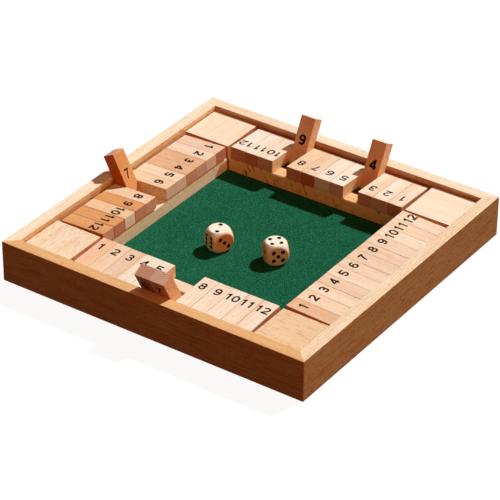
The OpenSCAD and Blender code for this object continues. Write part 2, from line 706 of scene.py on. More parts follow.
@dataclass(frozen=True)
class Pattern:
    """A soft noise in cells, and how much of it shows.

    Attributes:
        along: Cells to a millimetre along the fibres.
        across: Cells to a millimetre across them.
        none: Value of the noise at which nothing of it shows.
        full: Value at which all of it shows.
        detail: How many finer layers the noise has.
        roughness: How strong they are.
    """

    along: float
    across: float
    none: float
    full: float
    detail: float = 2.0
    roughness: float = 0.5


class Graph(Nodes):
    """Builds one material's nodes round a Principled shader."""

    def __init__(self, name: str) -> None:
        """Starts a material that has only its shader and its output.

        Args:
            name: The material's name.
        """
        self.material = bpy.data.materials.new(name)
        super().__init__(self.material)
        self.shader = self.add("ShaderNodeBsdfPrincipled")
        self.add("ShaderNodeOutputMaterial", {"Surface": self.shader.outputs[0]})

    def settle(self, **values: Any) -> None:
        """Feeds the shader's inputs, whose names have an underscore for each space."""
        for name, value in values.items():
            self.feed(self.shader.inputs[name.replace("_", " ")], value)

    def vector(self, name: str) -> Socket:
        """Reads one of the vectors that the pieces carry."""
        return self.add("ShaderNodeAttribute", attribute_name=name).outputs["Vector"]

    def share(self, name: str) -> Socket:
        """Reads one of the tones that the pieces carry."""
        return self.add("ShaderNodeAttribute", attribute_name=name).outputs["Fac"]

    def facing(self) -> tuple[Socket, Socket]:
        """Splits the stored facing, without its signs.

        Returns:
            How far a face is end grain, and how far it is a narrow side, 0 to 1 each.
        """
        bare = self.add("ShaderNodeVectorMath", {0: self.vector("facing")}, operation="ABSOLUTE").outputs[0]
        ends, flanks, _ = self.add("ShaderNodeSeparateXYZ", {0: bare}).outputs
        return ends, flanks

    def stretched(self, vector: Socket, along: float, across: float) -> Socket:
        """Scales a pattern's axes: along the fibres by one factor, across them by another."""
        factors = (along, across, across)
        return self.add("ShaderNodeVectorMath", {0: vector, 1: factors}, operation="MULTIPLY").outputs[0]

    def noise(self, vector: Socket, pattern: Pattern) -> Socket:
        """Adds a pattern's noise.

        Args:
            vector: Place in the piece's material, in millimetres.
            pattern: The pattern.

        Returns:
            The noise, 0 to 1.
        """
        cells = self.stretched(vector, pattern.along, pattern.across)
        feeds = {"Vector": cells, "Scale": 1.0, "Detail": pattern.detail, "Roughness": pattern.roughness}
        return self.add("ShaderNodeTexNoise", feeds).outputs[0]

    def step(self, value: Socket, low: float, high: float, bottom: float = 0.0, top: float = 1.0) -> Socket:
        """Maps low to bottom and high to top, with a smooth step between."""
        feeds = {"Value": value, "From Min": low, "From Max": high, "To Min": bottom, "To Max": top}
        return self.add("ShaderNodeMapRange", feeds, interpolation_type="SMOOTHSTEP").outputs[0]

    def shows(self, noise: Socket, pattern: Pattern, bottom: float = 0.0, top: float = 1.0) -> Socket:
        """Returns how much of a pattern shows, from the bottom value to the top one."""
        return self.step(noise, pattern.none, pattern.full, bottom, top)

    def times(self, value: Socket, factor: Socket) -> Socket:
        """Multiplies two values."""
        return self.add("ShaderNodeMath", {0: value, 1: factor}, operation="MULTIPLY").outputs[0]

    def mixed(self, share: Socket | float, first: Any, second: Any, blend: str = "MIX") -> Socket:
        """Mixes two colours.

        Args:
            share: How much of the second one shows, 0 to 1.
            first: The colour below.
            second: The colour above.
            blend: How the second one is laid on the first.

        Returns:
            The mixed colour.
        """
        feeds = {0: share, 6: first, 7: second}
        return self.add("ShaderNodeMix", feeds, data_type="RGBA", blend_type=blend).outputs[2]

    def stained(self, share: Socket, ground: Socket, stain: Colour) -> Socket:
        """Darkens a colour by a stain, where the share is high."""
        return self.mixed(share, ground, stain, "MULTIPLY")

    def bump(self, height: Socket, depth: float, strength: float) -> Socket:
        """Turns a height of 0 to 1 into a normal, for a relief of the given depth in millimetres."""
        feeds = {"Strength": strength, "Distance": depth * MM, "Height": height}
        return self.add("ShaderNodeBump", feeds).outputs[0]


# Stains of the wood's patterns: warm clouds, late wood, pores and ray flecks
SUNNY = colour(246, 222, 196)
LATE = colour(232, 196, 158)
PORE = colour(176, 122, 84)
RAY = colour(150, 88, 50)
# Shares of a full turn towards the ends or the flanks between which one colour gives way to another
TURNED = (0.55, 0.85)
# Heights of a growth ring's wave between which its late wood sets in
LATE_WOOD = (0.35, 0.95)
# The wood's patterns; ticks are the ray flecks, and crowds are where these are thick
CLOUDS = Pattern(0.01, 0.08, none=0.35, full=0.7)
FIBRES = Pattern(0.025, 0.6, none=0.42, full=0.72, detail=4.0, roughness=0.65)
PORES = Pattern(0.22, 1.7, none=0.56, full=0.7, detail=1.0)
TICKS = Pattern(0.55, 0.13, none=0.61, full=0.68, detail=1.0)
CROWDS = Pattern(0.05, 0.05, none=0.38, full=0.6, detail=1.0)
# The felt's, the steel's and the ink's
PATCHES = Pattern(0.03, 0.03, none=0.35, full=0.65)
TUFTS = Pattern(0.75, 0.75, none=0.46, full=0.66, detail=3.0, roughness=0.75)
HAIRS = Pattern(1.6, 1.6, none=0.55, full=0.34, roughness=0.7)
DRAWN_LINES = Pattern(0.05, 8.0, none=0.3, full=0.7)
COVER = Pattern(1.5, 1.5, none=0.5, full=0.75)


class Finish:
    """What a piece is finished with. Each kind makes its material once."""

    made: dict[str, bpy.types.Material] = {}
    name: str

    def material(self) -> bpy.types.Material:
        """Builds the finish's material."""
        raise NotImplementedError

    def materials(self) -> list[bpy.types.Material]:
        """Gets the materials of a piece with this finish.

        Returns:
            The materials, in the order of the mesh's slots.
        """
        if self.name not in Finish.made:
            Finish.made[self.name] = self.material()
        return [Finish.made[self.name]]


@dataclass(frozen=True)
class Beech(Finish):
    """Planed beech under clear satin lacquer.

    Attributes:
        name: The material's name.
        face: Colour of the broad faces.
        second: Their other colour, for a piece of full tone.
        flank: Colour of the narrow long faces.
        end: Colour of the end grain.
        second_flank: The narrow faces' other colour, for full flank tone, if they have one. On the frame's
            outer sides, the back rail's inner face and tiles' sides in gaps and in shade it is painted
            shade.
        second_end: The end grain's other colour, for full end tone, if it has one.
        bands: Strength of the growth rings.
        end_bands: Their strength on the end grain.
        streaks: Strength of the long fibre streaks.
        flank_streaks: Their strength on the narrow long faces.
        pores: Strength of the short dark pores, which is doubled on the narrow long faces.
        pore_pattern: How they lie.
        flecks: Strength of the brown ray flecks.
        lean: Slope of the flecks, in degrees.
        ring_gap: Distance between growth rings, in millimetres.
        gloss: Roughness of the lacquer.
        dulled: How much rougher it is over the densest fibres.
    """

    name: str
    face: Colour
    second: Colour
    flank: Colour
    end: Colour
    second_flank: Colour | None = None
    second_end: Colour | None = None
    bands: float = 0.2
    end_bands: float = 0.7
    streaks: float = 0.3
    flank_streaks: float = 0.4
    pores: float = 0.2
    pore_pattern: Pattern = PORES
    flecks: float = 0.0
    lean: float = -30.0
    ring_gap: float = 2.0
    gloss: float = 0.45
    dulled: float = 0.12

    def ground(self, graph: Graph, ends: Socket, flanks: Socket) -> Socket:
        """Lays the plain colour of each face: broad, narrow or end grain.

        Each is its two colours mixed by the piece's tone, and they blend where a face turns.

        Args:
            graph: The material's nodes.
            ends: How far a face is end grain.
            flanks: How far it is a narrow side.

        Returns:
            The colour.
        """
        broad = graph.mixed(graph.share("tone"), self.face, self.second)
        narrow = graph.mixed(graph.share("flank_tone"), self.flank, self.second_flank or self.flank)
        sided = graph.mixed(graph.step(flanks, *TURNED), broad, narrow)
        cut = graph.mixed(graph.share("end_tone"), self.end, self.second_end or self.end)
        return graph.mixed(graph.step(ends, *TURNED), sided, cut)

    def rings(self, graph: Graph, grain: Socket) -> Socket:
        """Draws the growth rings: sine waves of the distance from the pith, bent by a slow noise.

        With a scale of one, such waves are pi / 10 apart.

        Args:
            graph: The material's nodes.
            grain: Place in the tree.

        Returns:
            The rings, 0 to 1.
        """
        feeds = {
            "Vector": graph.stretched(grain, 0.05, 1.0),
            "Scale": math.pi / 10 / self.ring_gap,
            "Distortion": 3.0,
            "Detail": 2.0,
            "Detail Scale": 0.12,
            "Detail Roughness": 0.6,
        }
        wave = graph.add("ShaderNodeTexWave", feeds, wave_type="RINGS", rings_direction="X")
        return graph.step(wave.outputs["Fac"], *LATE_WOOD)

    def rays(self, graph: Graph, grain: Socket) -> Socket:
        """Draws the ray flecks: leaning ticks across the fibres, thick in some places only.

        Args:
            graph: The material's nodes.
            grain: Place in the tree.

        Returns:
            The flecks, 0 to their strength.
        """
        feeds = {"Vector": grain, "Angle": math.radians(self.lean)}
        leaning = graph.add("ShaderNodeVectorRotate", feeds, rotation_type="Y_AXIS").outputs[0]
        ticks = graph.shows(graph.noise(leaning, TICKS), TICKS, top=self.flecks)
        crowds = graph.shows(graph.noise(grain, CROWDS), CROWDS, bottom=0.35)
        return graph.times(ticks, crowds)

    def material(self) -> bpy.types.Material:
        """Builds the wood: clouds, rings, streaks, pores and flecks laid on the ground colour.

        Returns:
            The material.
        """
        graph = Graph(self.name)
        grain = graph.vector("grain")
        ends, flanks = graph.facing()
        clouds = graph.noise(grain, CLOUDS)
        fibres = graph.noise(grain, FIBRES)
        pores = graph.noise(grain, self.pore_pattern)
        ringed = graph.step(ends, *TURNED, self.bands, self.end_bands)
        streaked = graph.step(flanks, *TURNED, self.streaks, self.flank_streaks)
        pored = graph.step(flanks, *TURNED, self.pores, 2.0 * self.pores)
        wood = self.ground(graph, ends, flanks)
        wood = graph.stained(graph.shows(clouds, CLOUDS, top=0.35), wood, SUNNY)
        wood = graph.stained(graph.times(self.rings(graph, grain), ringed), wood, LATE)
        wood = graph.stained(graph.times(graph.shows(fibres, FIBRES), streaked), wood, LATE)
        wood = graph.stained(graph.times(graph.shows(pores, self.pore_pattern), pored), wood, PORE)
        if self.flecks:
            wood = graph.stained(self.rays(graph, grain), wood, RAY)
        graph.settle(
            Base_Color=wood,
            Roughness=graph.step(fibres, 0.3, 0.7, self.gloss, self.gloss + self.dulled),
            IOR=1.4,
            Specular_IOR_Level=0.15,
            Normal=graph.bump(graph.mixed(0.5, fibres, pores), depth=0.03, strength=0.5),
        )
        return graph.material


@dataclass(frozen=True)
class Felt(Finish):
    """Short napped wool felt.

    Attributes:
        name: The material's name.
        ground: Its own colour.
        light: Colour where the nap stands up.
        dark: Colour where the nap lies flat.
    """

    name: str
    ground: Colour
    light: Colour
    dark: Colour

    def material(self) -> bpy.types.Material:
        """Builds the felt: slow patches, tufts about a millimetre wide and fine hairs over them.

        Returns:
            The material.
        """
        graph = Graph(self.name)
        place = graph.vector("grain")
        patches, tufts, hairs = (graph.noise(place, pattern) for pattern in (PATCHES, TUFTS, HAIRS))
        cloth = graph.mixed(graph.shows(patches, PATCHES, top=0.25), self.ground, self.dark)
        cloth = graph.mixed(graph.shows(tufts, TUFTS), cloth, self.light)
        cloth = graph.mixed(graph.shows(hairs, HAIRS), cloth, self.dark)
        graph.settle(
            Base_Color=cloth,
            Roughness=0.95,
            IOR=1.3,
            Specular_IOR_Level=0.0,
            Normal=graph.bump(graph.mixed(0.5, tufts, hairs), depth=0.3, strength=0.7),
        )
        return graph.material


@dataclass(frozen=True)
class Steel(Finish):
    """Drawn steel rod with fine lines along it.

    Attributes:
        name: The material's name.
        metal: Colour of the metal.
        rough: Its roughness between the drawn lines and in them.
    """

    name: str
    metal: Colour
    rough: tuple[float, float] = (0.28, 0.42)

    def material(self) -> bpy.types.Material:
        """Builds the metal, whose drawn lines vary its roughness.

        Returns:
            The material.
        """
        graph = Graph(self.name)
        lines = graph.noise(graph.vector("grain"), DRAWN_LINES)
        rough = graph.shows(lines, DRAWN_LINES, *self.rough)
        graph.settle(Base_Color=self.metal, Metallic=1.0, Roughness=rough)
        return graph.material


@dataclass(frozen=True)
class Ink(Finish):
    """Black printing ink or paint, a little thinner in places.

    Attributes:
        name: The material's name.
        black: Colour where it covers well.
        thin: Colour where it is thin.
    """

    name: str
    black: Colour
    thin: Colour

    def material(self) -> bpy.types.Material:
        """Builds the ink, mottled where it is thin.

        Returns:
            The material.
        """
        graph = Graph(self.name)
        cover = graph.noise(graph.vector("grain"), COVER)
        graph.settle(
            Base_Color=graph.mixed(graph.shows(cover, COVER), self.black, self.thin),
            Roughness=0.6,
            Specular_IOR_Level=0.02,
        )
        return graph.material


@dataclass(frozen=True)
class Pipped(Finish):
    """A die's polished wood, with painted pips as its second material.

    Attributes:
        wood: The finish of the wood.
        paint: The finish of the pips.
    """

    wood: Beech
    paint: Ink

    def materials(self) -> list[bpy.types.Material]:
        """Returns the wood and the paint."""
        return self.wood.materials() + self.paint.materials()


# What the finishes of all the tiles share
TILE_WOOD = {
    "flank": colour(250, 220, 180),
    # The second flank colour, a red-brown, is painted shade on tile sides in the gaps and in shade
    "second_flank": colour(197, 98, 40),
    "end": colour(255, 246, 236),
    "second_end": colour(202, 106, 60),
    "bands": 0.13,
    "streaks": 0.22,
    "pores": 0.3,
}
# The usual finish of each material slot
FINISHES: dict[str, Finish] = {
    "frame_beech": Beech(
        "lacquered_frame_beech",
        face=colour(254, 243, 222),
        second=colour(234, 191, 140),
        flank=colour(253, 232, 182),
        # The dark brown of the boards' outer sides is painted shade
        second_flank=colour(171, 114, 46),
        end=colour(200, 132, 80),
        streaks=0.35,
        flank_streaks=1.0,
        pores=0.35,
    ),
    "base_plywood": Beech(
        "sanded_plywood",
        face=colour(236, 206, 164),
        second=colour(224, 190, 144),
        flank=colour(200, 156, 110),
        end=colour(200, 156, 110),
        second_end=colour(186, 140, 98),
        bands=0.5,
        end_bands=0.5,
        streaks=0.6,
        ring_gap=9.0,
        gloss=0.7,
    ),
    "green_felt": Felt("green_wool_felt", colour(24, 93, 68), colour(62, 144, 110), colour(12, 62, 43)),
    "block_beech": Beech(
        "lacquered_block_beech",
        face=colour(253, 244, 228),
        second=colour(244, 214, 180),
        flank=colour(238, 186, 140),
        second_flank=colour(206, 116, 64),
        end=colour(206, 116, 64),
        bands=0.12,
        streaks=0.2,
        pores=0.55,
        pore_pattern=replace(PORES, along=0.13, across=2.1),
    ),
    "rail_beech": Beech(
        "sanded_rail_beech",
        face=colour(253, 240, 222),
        second=colour(250, 206, 156),
        flank=colour(255, 248, 232),
        # The rails' inner faces take this orange by their tone; on the back rail, whose inner face stands in
        # shade, it is painted shade
        second_flank=colour(255, 200, 134),
        end=colour(196, 122, 76),
        bands=0.1,
        flank_streaks=0.2,
        pores=0.12,
        flecks=0.85,
    ),
    "steel_rod": Steel("drawn_steel", colour(196, 194, 190)),
    "tile_pale": Beech(
        "lacquered_pale_beech",
        face=colour(253, 245, 234),
        second=colour(246, 210, 172),
        **TILE_WOOD,
    ),
    "tile_amber": Beech(
        "lacquered_amber_beech",
        face=colour(244, 222, 202),
        second=colour(228, 168, 112),
        **TILE_WOOD,
    ),
    "tile_rose": Beech(
        "lacquered_rose_beech",
        face=colour(250, 236, 222),
        second=colour(250, 188, 142),
        **TILE_WOOD,
    ),
    "dice_wood": Pipped(
        Beech(
            "polished_dice_wood",
            # Broad faces are the dice's tops and bottoms. Their near white is painted light on the lit tops,
            # and the tan flanks are painted shade on the sides; the orange end grain is partly its own
            # darker colour, partly painted shade
            face=colour(255, 254, 244),
            second=colour(255, 250, 232),
            flank=colour(226, 196, 160),
            end=colour(240, 172, 116),
            bands=0.1,
            streaks=0.12,
            pores=0.1,
            gloss=0.35,
        ),
        Ink("pip_black", colour(10, 8, 8), colour(20, 15, 14)),
    ),
    "number_ink": Ink("printed_black", colour(44, 26, 14), colour(60, 38, 22)),
}


# The tray


@dataclass
class FrameBoards:
    """Four boards mitred into a square tray.

    Attributes:
        edge_ease: Rounding of the long edges.
        corner_radius: Rounding of the tray's upright corners.
        groove_depth: Depth of the groove for the base.
        groove_fit: Height that the groove has over the base's thickness.
        arris: Easing of the mitred ends, which shows as the joint's fine line.
        stations: Rings along a board.
        corner_steps: Rings round half of a corner.
    """

    edge_ease: float = 0.5
    corner_radius: float = 0.75
    groove_depth: float = 5.0
    groove_fit: float = 0.1
    arris: float = 0.1
    stations: int = 13
    corner_steps: int = 5

    def section(self, box: Box) -> Outline:
        """Draws a board's section, with the groove for the base.

        Args:
            box: The front board's box.

        Returns:
            The section: distance from the outer face, then height.
        """
        base = node_box("base_board")
        wide, high = box.size[1], box.size[2]
        floor, roof = base.low[2], base.high[2] + self.groove_fit
        deep = wide - self.groove_depth
        corners = [(0, 0), (wide, 0), (wide, floor), (deep, floor), (deep, roof), (wide, roof)]
        corners += [(wide, high), (0, high)]
        ease = self.edge_ease
        return Outline(corners, [ease, ease, 0, 0, 0, 0, ease, ease], arc_steps=3)

    def board(self, box: Box) -> Shell:
        """Carries the section from mitre to mitre.

        A point at the distance t from the outer face runs straight as far as h - max(t, R) from the
        middle, where h is half the tray's side and R the corner's radius, and then round an arc of
        the radius R - t, if that is positive, to the mitre. An end ring is that outline shrunk by
        the arris, at the mitre itself, and the rings before it stop short of the mitre by as much.

        Args:
            box: The front board's box.

        Returns:
            The front board's shell, in the game's axes.
        """
        half = -box.low[1]
        section = self.section(box)
        share = np.linspace(-1, 1, self.stations)
        bend = np.radians(np.linspace(0, 45, self.corner_steps + 1)[1:])
        shares = np.concatenate([np.full(self.corner_steps, -1.0), share, np.full(self.corner_steps, 1.0)])
        bends = np.concatenate([-bend[::-1], np.zeros(self.stations), bend])

        def ring(inset: float, gap: float, share: Array, bend: Array) -> Array:
            """Places the section along the board.

            Args:
                inset: Distance by which the section shrinks.
                gap: Distance by which the mitres stand back.
                share: Shares of the straight length, from -1 to 1.
                bend: How far round the corner each one is.

            Returns:
                One ring for each share.
            """
            depth, height = section.at(inset).T
            depth, height = depth[None, :], height[None, :]
            start = half - np.maximum(depth, self.corner_radius)
            radius = np.maximum(self.corner_radius - depth, 0.0)
            x = share[:, None] * start + radius * np.sin(bend[:, None])
            y = -start - radius * np.cos(bend[:, None])
            x = x * (1 - gap * math.sqrt(2) / start)
            return np.stack([x, y, np.broadcast_to(height, x.shape)], axis=-1)

        ends = ring(self.arris, 0.0, np.array([-1.0, 1.0]), np.radians([-45.0, 45.0]))
        middle = ring(0.0, self.arris, shares, bends)
        return lattice(np.concatenate([ends[:1], middle, ends[1:]]))

    def build(self) -> None:
        """Makes the four boards, each with its face tone and its finish. Each outer side takes the second
        flank colour, a dark brown that is painted shade; the back board's brown inner wall is painted shade
        too.
        """
        plain = FINISHES[SLOTS["frame_front"]]
        # orange is the right board's outer side and brown the back board's inner wall, both painted shade
        orange, brown, pale = colour(172, 127, 56), colour(216, 160, 122), colour(240, 214, 172)
        right = replace(plain, name="right_frame_beech", second_flank=orange, pores=0.45)
        back = replace(plain, name="back_frame_beech", flank=brown)
        left = replace(plain, name="left_frame_beech", flank=pale)
        woods = zip(Row, (1.0, 0.25, 0.0, 0.0), (plain, right, back, left))
        for row, tone, wood in woods:
            name, node = f"{row.label}_frame_board", f"frame_{row.label}"
            mesh = mesh_of(self.board(node_box("frame_front")), name)
            # Full flank tone on the outer side gives it the painted shade of the second flank colour
            grain = any_grain([Draw.FRAME, row.value], tone=tone, flank_tones=(1.0, 0.0))
            Piece(name, mesh, SLOTS[node], node, Place(row.turn), finish=wood, grain=grain).build()


@dataclass
class Base:
    """The plywood base in the frame's groove, and the felt on it.

    Attributes:
        ease: Rounding of the base's edges.
        felt_ease: Rounding of the felt's cut edges.
        nap: Height of the felt's unevenness.
        tuft: Distance between the felt's points.
        veneer: Where the base's face lay in its tree.
    """

    ease: float = 0.3
    felt_ease: float = 0.3
    nap: float = 0.05
    tuft: float = 1.6
    veneer: tuple[float, float, float] = (40.0, 90.0, 260.0)

    def board(self, box: Box) -> Shell:
        """Returns a flat board with eased edges that fills a box."""
        outline = Outline(corners_of(box.low, box.high), [2 * self.ease] * 4)
        return lattice(eased(outline, box.low[2], box.high[2], self.ease))

    def felt(self, box: Box) -> Shell:
        """Makes the felt as a grid over the well that folds down round its edges.

        The grid's outer rows go round a quarter circle and then down to the base. Inside them the
        surface lies the nap's depth below the box, give or take half of it at random.

        Args:
            box: The felt's box.

        Returns:
            The felt's shell.
        """
        inset, drop = quarter_round(self.felt_ease, 3)
        lines, sinks = [], []
        for axis in range(2):
            low, high = box.low[axis], box.high[axis]
            count = round((high - low - 2 * self.felt_ease) / self.tuft)
            inner = np.linspace(low + self.felt_ease, high - self.felt_ease, count + 1)
            lines.append(np.concatenate([low + inset[::-1], inner[1:-1], high - inset]))
            sinks.append(np.concatenate([drop[::-1], np.zeros(count - 1), drop]))
        x, y = np.meshgrid(*lines, indexing="ij")
        sink = np.maximum(*np.meshgrid(*sinks, indexing="ij"))
        uneven = chances(Draw.NAP).uniform(-0.5, 0.5, x.shape) * (sink == 0)
        top = box.high[2] - sink - self.nap * (0.5 + uneven)
        return self.closed(x, y, top, box.low[2])

    def closed(self, x: Array, y: Array, top: Array, floor: float) -> Shell:
        """Closes a height field with a flat underside that has the same grid.

        Args:
            x: Each point's X.
            y: Each point's Y.
            top: Each point's height.
            floor: Height of the underside.

        Returns:
            The closed shell.
        """
        upper = np.stack([x, y, top], axis=-1).reshape(-1, 3)
        lower = np.stack([x, y, np.full_like(x, floor)], axis=-1).reshape(-1, 3)
        numbers = np.arange(x.size).reshape(x.shape)
        quads = np.stack([numbers[:-1, :-1], numbers[1:, :-1], numbers[1:, 1:], numbers[:-1, 1:]], axis=-1)
        quads = quads.reshape(-1, 4)
        rim = np.concatenate([numbers[:-1, 0], numbers[-1, :-1], numbers[:0:-1, -1], numbers[0, :0:-1]])
        beside = np.roll(rim, -1)
        sides = np.stack([rim, beside, beside + x.size, rim + x.size], axis=-1)
        faces = np.concatenate([quads, quads[:, ::-1] + x.size, sides]).tolist()
        return Shell(np.concatenate([upper, lower]), faces)

    def build(self) -> None:
        """Makes the base and the felt."""
        base = mesh_of(self.board(node_box("base_board")), "plywood_base")
        grain = Grain(start=np.array(self.veneer))
        Piece("plywood_base", base, SLOTS["base_board"], "base_board", grain=grain).build()
        box = node_box("felt")
        cloth = mesh_of(self.felt(box), "felt_lining")
        lining = Piece("felt_lining", cloth, SLOTS["felt"], "felt").build()


@dataclass
class CornerBlocks:
    """A square block in each corner, whose sockets hold the rods' ends.

    Attributes:
        corner_radius: Rounding of the upright edges.
        ease: Rounding of the top and bottom edges.
        socket_depth: Depth of the sockets.
        socket_fit: Clearance of a rod in its socket, on the radius.
        drill_chamfer: Chamfer of the drill's ends.
    """

    corner_radius: float = 0.8
    ease: float = 0.4
    socket_depth: float = 12.0
    socket_fit: float = 0.03
    drill_chamfer: float = 0.01

    def block(self, row: Row) -> bpy.types.Mesh:
        """Makes the block before a row's first tile, with its two sockets drilled.

        Args:
            row: The row.

        Returns:
            The block, in the front row's axes.
        """
        box, rod = row_box("corner_blocks", row, corner=True), row_box("axle_rods", row)
        outline = Outline(corners_of(box.low, box.high), [self.corner_radius] * 4)
        block = mesh_of(lattice(eased(outline, box.low[2], box.high[2], self.ease)), "block")
        radius = rod.size[2] / 2 + self.socket_fit
        drill = chamfered_bar(radius, 2 * self.socket_depth, self.drill_chamfer)
        mouth = np.array([box.high[0], rod.centre[1], rod.centre[2]])
        places = [Place(offset=mouth), Place(turned(z=90), mouth[[1, 0, 2]])]
        return combined(block, [mesh_of(drill.moved(place), "drill") for place in places], Cut.TAKE)

    def build(self) -> None:
        """Makes the four blocks.

        Each has its corner, its axis along the fibres, its flanks' and its face's tone and its finish.
        """
        plain = FINISHES[SLOTS["corner_blocks"]]
        smooth = replace(plain, name="smooth_block_beech", pores=0.12)
        # The front blocks' darker face tones are partly painted shade, for the weaker light towards the
        # front, and partly the wood's own tone
        woods = {
            Row.FRONT: ("front_left", 1, 0.0, 0.5, plain),
            Row.RIGHT: ("front_right", 1, 0.3, 1.0, plain),
            Row.BACK: ("back_right", 0, 0.75, 0.0, smooth),
            Row.LEFT: ("back_left", 0, 0.3, 0.2, smooth),
        }
        for row, (corner, along, flank, tone, wood) in woods.items():
            grain = any_grain([Draw.BLOCKS, row.value], along=along, tone=tone, flank_tones=(flank, flank))
            name, node, place = f"{corner}_block", "corner_blocks", Place(row.turn)
            Piece(name, self.block(row), SLOTS[node], node, place, finish=wood, grain=grain).build()


@dataclass
class Rails:
    """The rails under the tiles' free ends.

    Attributes:
        ease: Rounding of the plain edges.
        nose: Rounding of the edge towards the well.
    """

    ease: float = 0.3
    nose: float = 1.6

    def rail(self, box: Box) -> Shell:
        """Carries a rail's section, distance across and height, along X.

        Args:
            box: The rail's box.

        Returns:
            The rail's shell.
        """
        corners = corners_of(box.low[1:], box.high[1:])
        section = Outline(corners, [self.ease, self.ease, self.nose, self.ease], arc_steps=6)
        rings = eased(section, box.low[0], box.high[0], self.ease)
        return lattice(rings[:, :, [2, 0, 1]])

    def build(self) -> None:
        """Makes the four rails, the left one of a wood with more streaks and fewer flecks."""
        # The back rail's full tone gives its shaded inner face the orange second flank colour, painted shade
        tones = {Row.FRONT: 0.4, Row.RIGHT: 0.6, Row.BACK: 1.0, Row.LEFT: 0.0}
        node, warm = "rest_rails", colour(255, 244, 222)
        plain = FINISHES[SLOTS[node]]
        streaky = replace(plain, name="streaky_rail_beech", flank=warm, pores=0.2, flecks=0.3)
        for row, tone in tones.items():
            name, place = f"{row.label}_rest_rail", Place(row.turn)
            mesh = mesh_of(self.rail(row_box(node, row)), name)
            grain = any_grain([Draw.RAILS, row.value], tone=tone, flank_tones=(0.0, tone))
            wood = streaky if row is Row.LEFT else plain
            Piece(name, mesh, SLOTS[node], node, place, finish=wood, grain=grain).build()


@dataclass
class Rods:
    """The steel rods that the rows turn on.

    Attributes:
        chamfer: Width of the chamfer at the rods' ends.
    """

    chamfer: float = 0.3

    def build(self) -> None:
        """Makes the four rods."""
        node = "axle_rods"
        for row in Row:
            name, box = f"{row.label}_rod", row_box(node, row)
            bar = chamfered_bar(box.size[2] / 2, box.size[0], self.chamfer).moved(Place(offset=box.centre))
            Piece(name, mesh_of(bar, name), SLOTS[node], node, Place(row.turn)).build()


# Numbers


Point = tuple[float, float]
# Angle that one chord of an arc spans, in degrees
CHORD = 12


def arc(centre: Point, radii: Point, start: float, end: float) -> Array:
    """Works out points on an ellipse.

    At the angle a a point lies at the centre plus (radii[0] cos a, radii[1] sin a).

    Args:
        centre: The ellipse's middle.
        radii: Its half width and half height.
        start: The angle of the first point, in degrees.
        end: The angle of the last one.

    Returns:
        The points, one row each.
    """
    count = max(2, round(abs(end - start) / CHORD))
    angle = np.radians(np.linspace(start, end, count + 1))
    return np.column_stack([centre[0] + radii[0] * np.cos(angle), centre[1] + radii[1] * np.sin(angle)])


def curve(*handles: Point, count: int = 10) -> Array:
    """Works out points on a cubic curve with four handles p, q, r and s.

    At u from 0 to 1 it is p (1-u)^3 + 3 q u (1-u)^2 + 3 r u^2 (1-u) + s u^3.

    Args:
        *handles: The four handles.
        count: Chords in the curve.

    Returns:
        The points, one row each.
    """
    u = np.linspace(0, 1, count + 1)[:, None]
    p, q, r, s = np.array(handles)
    return p * (1 - u) ** 3 + 3 * q * u * (1 - u) ** 2 + 3 * r * u**2 * (1 - u) + s * u**3


def squared(wave: Array, power: float = 0.85) -> Array:
    """Swells a sine or cosine by a power below one, so that an ellipse gets fuller corners."""
    return np.sign(wave) * np.abs(wave) ** power


@dataclass(frozen=True)
class Stroke:
    """One stroke of a digit.

    Attributes:
        line: Points of its centreline.
        closed: True where it closes on itself.
    """

    line: Array
    closed: bool = False


def straight(*points: Point) -> Stroke:
    """Returns a stroke of straight lines."""
    return Stroke(np.array(points, float))


